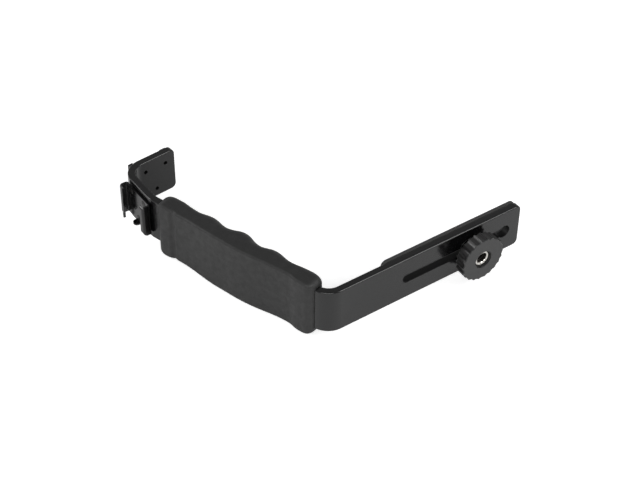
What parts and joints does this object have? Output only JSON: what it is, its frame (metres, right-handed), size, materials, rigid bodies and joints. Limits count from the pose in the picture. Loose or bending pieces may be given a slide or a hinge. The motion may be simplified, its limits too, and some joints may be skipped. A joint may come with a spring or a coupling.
{
  "type": "camera flash bracket",
  "caption": "Bent flat-bar camera bracket with a moulded hand grip, slotted padded arm, captive thumb screw and two riveted accessory shoes.",
  "frame": {"origin": "on the outer face of the camera pad, on the arm's centre line, midway between the pad's start and the slot's start", "axes": "+X along the camera arm towards its free end, +Y out of the camera pad towards the camera and the top shoe, +Z across the bar's width; the bracket lies on its long edge"},
  "size_m": [0.1533, 0.1526, 0.0344],
  "materials": {
    "black_enamel": "semi-gloss black enamel on steel",
    "pad_rubber": "matt black rubber",
    "grip_rubber": "soft moulded black rubber with a fine leather grain",
    "shoe_enamel": "gloss black enamel on stamped sheet",
    "rivet_steel": "blackened steel",
    "washer_steel": "plain zinc plated",
    "knob_plastic": "moulded black plastic, slight sheen",
    "plated_steel": "turned steel, bright nickel plated"
  },
  "bodies": {
    "bracket": {"bracket_bar": "black_enamel", "camera_pad": "pad_rubber", "hand_grip": "grip_rubber", "side_shoe": "shoe_enamel", "side_shoe_rivet_1": "rivet_steel", "side_shoe_rivet_2": "rivet_steel", "side_shoe_rivet_3": "rivet_steel", "top_shoe": "shoe_enamel", "top_shoe_rivet_1": "rivet_steel", "top_shoe_rivet_2": "rivet_steel", "top_shoe_rivet_3": "rivet_steel"},
    "slide_washer": {"slide_washer": "washer_steel"},
    "thumb_screw": {"thumb_knob": "knob_plastic", "camera_screw": "plated_steel"}
  },
  "joints": [
    {"name": "screw_slide", "type": "slide", "parent": "bracket", "child": "slide_washer", "axis": [1, 0, 0], "range_m": [-0.0386, 0.0211]},
    {"name": "knob_turn", "type": "hinge", "parent": "slide_washer", "child": "thumb_screw", "pos_m": [0.0463, 0, 0], "axis": [0, 1, 0], "continuous": true}
  ]
}
